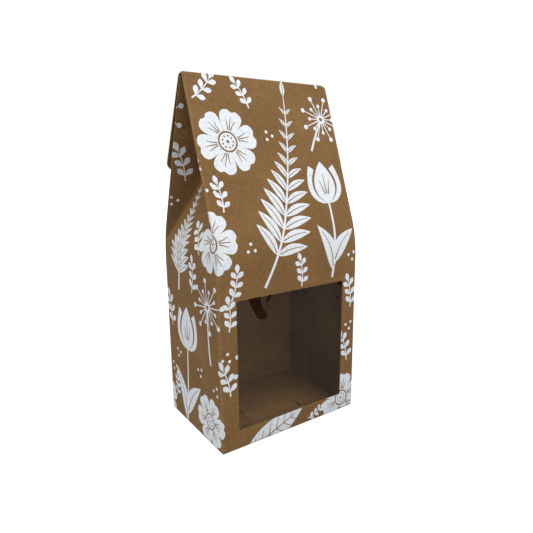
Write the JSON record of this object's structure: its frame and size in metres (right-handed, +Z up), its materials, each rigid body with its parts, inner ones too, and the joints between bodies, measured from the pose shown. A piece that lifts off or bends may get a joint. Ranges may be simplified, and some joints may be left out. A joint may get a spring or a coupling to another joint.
{
  "type": "windowed coffee box",
  "caption": "Folded kraft board gift box for a bag of coffee, with a film window, a gusseted gable top, a hanging closing flap and a snap-lock base.",
  "frame": {"origin": "middle of the base, on the surface that the box stands on", "axes": "+X along the front towards the right, -Y out of the windowed front, +Z up towards the ridge"},
  "size_m": [0.1, 0.0684, 0.2092],
  "materials": {
    "kraft_board": "unbleached kraft board, matt, with white print outside and plain inside",
    "clear_film": "clear film, glossy, slightly hazy"
  },
  "bodies": {
    "box": {"carton": "kraft_board", "window_film": "clear_film"},
    "flap": {"closing_flap": "kraft_board"}
  },
  "joints": [
    {"name": "flap_hinge", "type": "hinge", "parent": "box", "child": "flap", "pos_m": [0, -0.00191, 0.2085], "axis": [1, 0, 0], "range_deg": [0, 135]}
  ]
}
